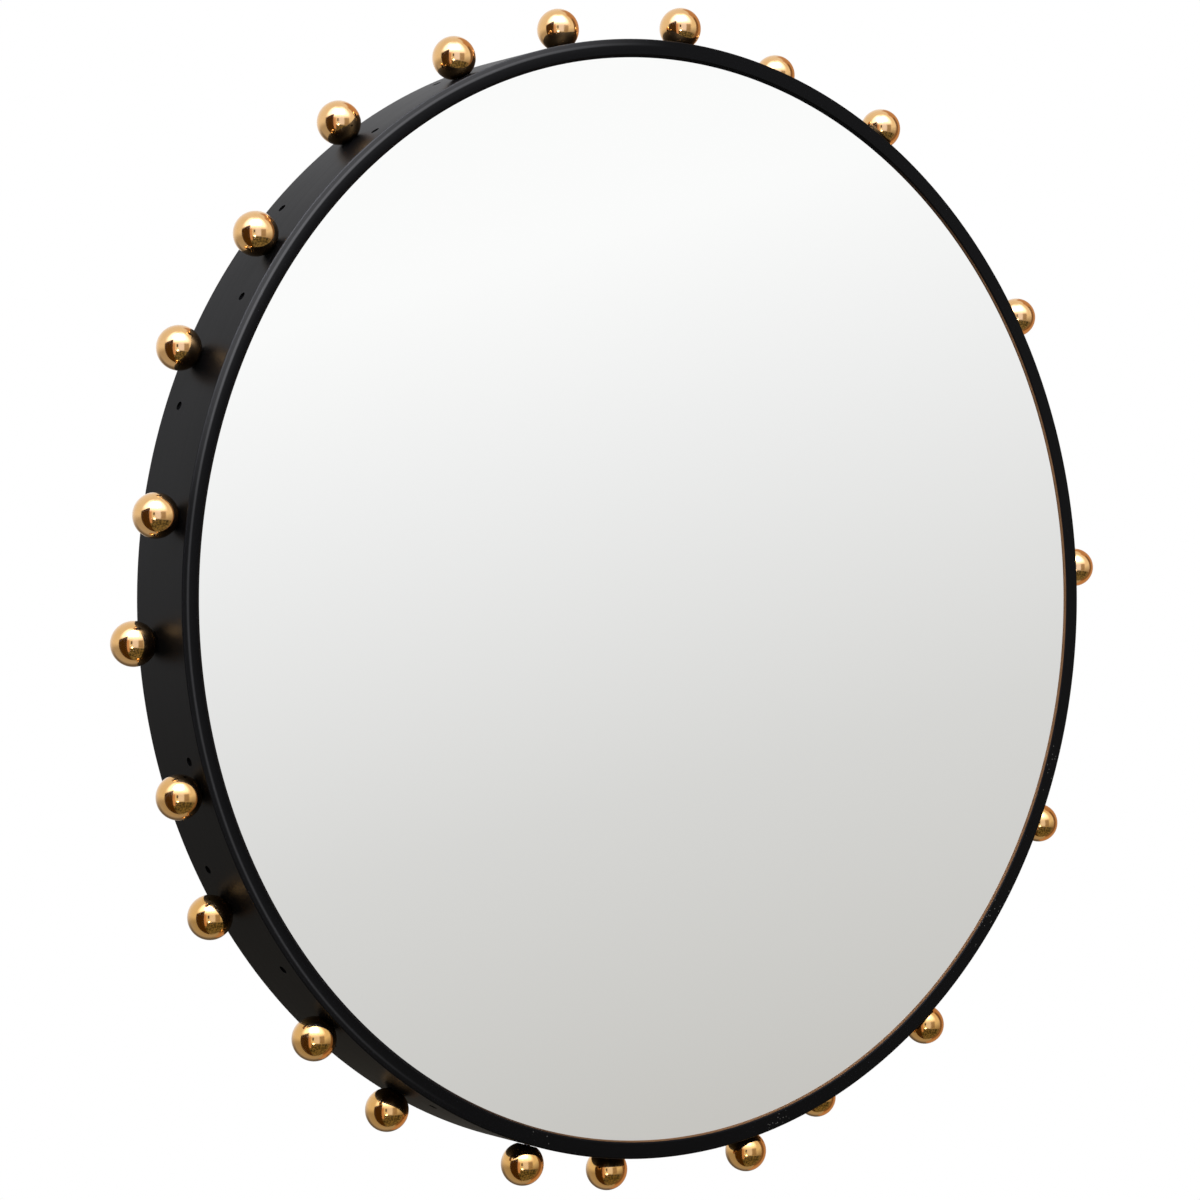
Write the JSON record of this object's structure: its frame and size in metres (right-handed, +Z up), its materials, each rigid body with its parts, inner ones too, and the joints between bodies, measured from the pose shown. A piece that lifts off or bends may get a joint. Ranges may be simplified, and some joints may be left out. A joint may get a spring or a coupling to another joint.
{
  "type": "wall mirror",
  "caption": "Round flat wall mirror in a deep black steel hoop with a narrow front lip, polished brass balls set round the hoop in two staggered rows, and D-rings behind to hang it.",
  "frame": {"origin": "centre of the hoop, in the plane of the wall that its rear rim rests on", "axes": "+Z up, +Y into the wall, so the mirror faces -Y; +X to the right of someone looking at the glass"},
  "size_m": [0.9946, 0.073, 0.9949],
  "materials": {
    "black_steel": "satin black paint",
    "silvered_glass": "silvered float glass",
    "polished_brass": "polished, fine scratches",
    "zinc_steel": "zinc plated",
    "board": "raw fibreboard"
  },
  "bodies": {
    "mirror": {"frame_hoop": "black_steel", "mirror_glass": "silvered_glass", "backing_board": "board", "retaining_ring": "zinc_steel", "ball_front_01": "polished_brass", "ball_front_02": "polished_brass", "ball_front_03": "polished_brass", "ball_front_04": "polished_brass", "ball_front_05": "polished_brass", "ball_front_06": "polished_brass", "ball_front_07": "polished_brass", "ball_front_08": "polished_brass", "ball_front_09": "polished_brass", "ball_front_10": "polished_brass", "ball_front_11": "polished_brass", "ball_front_12": "polished_brass", "ball_front_13": "polished_brass", "ball_back_01": "polished_brass", "ball_back_02": "polished_brass", "ball_back_03": "polished_brass", "ball_back_04": "polished_brass", "ball_back_05": "polished_brass", "ball_back_06": "polished_brass", "ball_back_07": "polished_brass", "ball_back_08": "polished_brass", "ball_back_09": "polished_brass", "ball_back_10": "polished_brass", "ball_back_11": "polished_brass", "ball_back_12": "polished_brass", "ball_back_13": "polished_brass", "screw_front_01": "zinc_steel", "screw_front_02": "zinc_steel", "screw_front_03": "zinc_steel", "screw_front_04": "zinc_steel", "screw_front_05": "zinc_steel", "screw_front_06": "zinc_steel", "screw_front_07": "zinc_steel", "screw_front_08": "zinc_steel", "screw_front_09": "zinc_steel", "screw_front_10": "zinc_steel", "screw_front_11": "zinc_steel", "screw_front_12": "zinc_steel", "screw_front_13": "zinc_steel", "screw_back_01": "zinc_steel", "screw_back_02": "zinc_steel", "screw_back_03": "zinc_steel", "screw_back_04": "zinc_steel", "screw_back_05": "zinc_steel", "screw_back_06": "zinc_steel", "screw_back_07": "zinc_steel", "screw_back_08": "zinc_steel", "screw_back_09": "zinc_steel", "screw_back_10": "zinc_steel", "screw_back_11": "zinc_steel", "screw_back_12": "zinc_steel", "screw_back_13": "zinc_steel", "hanger_strap_left": "zinc_steel", "hanger_strap_right": "zinc_steel"},
    "ring_left": {"hanger_ring_left": "zinc_steel"},
    "ring_right": {"hanger_ring_right": "zinc_steel"}
  },
  "joints": [
    {"name": "ring_left_swing", "type": "hinge", "parent": "mirror", "child": "ring_left", "pos_m": [-0.38078, -0.0145, 0.25684], "axis": [0, -1, 0], "range_deg": [-28, 138]},
    {"name": "ring_right_swing", "type": "hinge", "parent": "mirror", "child": "ring_right", "pos_m": [0.38078, -0.0145, 0.25684], "axis": [0, 1, 0], "range_deg": [-28, 138]}
  ]
}
